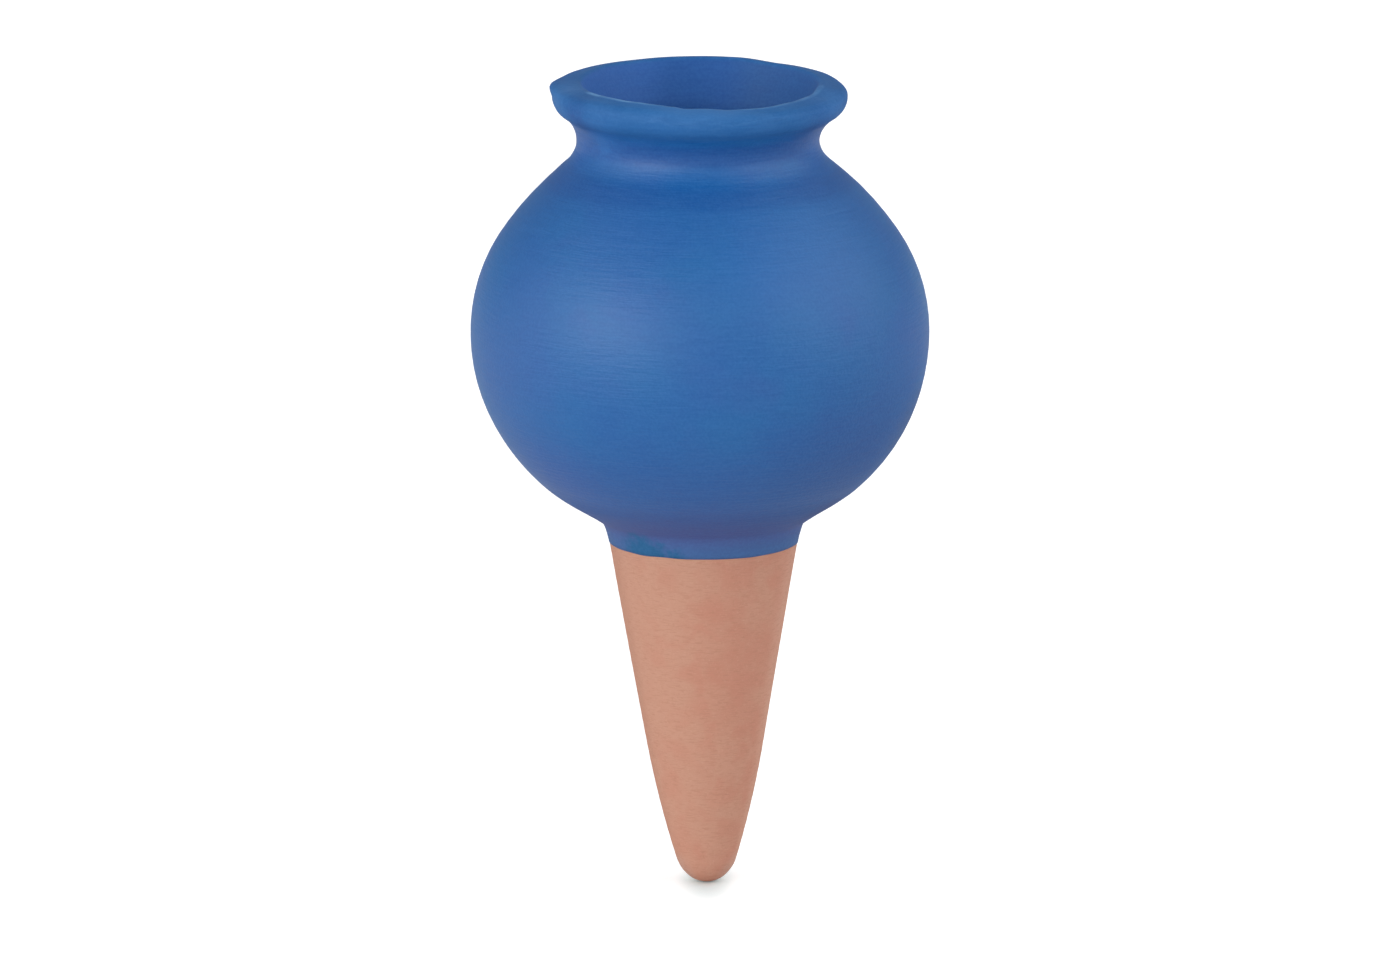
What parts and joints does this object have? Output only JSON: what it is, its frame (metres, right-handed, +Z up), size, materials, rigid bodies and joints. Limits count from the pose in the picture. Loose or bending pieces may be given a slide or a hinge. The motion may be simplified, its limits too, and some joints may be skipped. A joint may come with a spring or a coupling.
{
  "type": "self watering spike",
  "caption": "Hollow clay watering globe with a rolled lip on a porous tapered spike, sealed with a matte blue coat above the soil line; water seeps out below.",
  "frame": {"origin": "centre of the spike at the soil line, where the blue coat ends and the bare clay begins", "axes": "+Z up along the axis of the spike and the globe, out of the mouth; +X and +Y level"},
  "size_m": [0.0672, 0.0672, 0.12],
  "materials": {
    "globe_clay": "unglazed fired clay",
    "spike_clay": "unglazed porous fired clay, fine grain",
    "slip": "fired slip",
    "blue_coat": "matte blue coat with a faint satin sheen"
  },
  "bodies": {
    "root": {"globe": "globe_clay", "spike": "spike_clay", "slip_joint": "slip", "blue_coat": "blue_coat"}
  },
  "joints": []
}
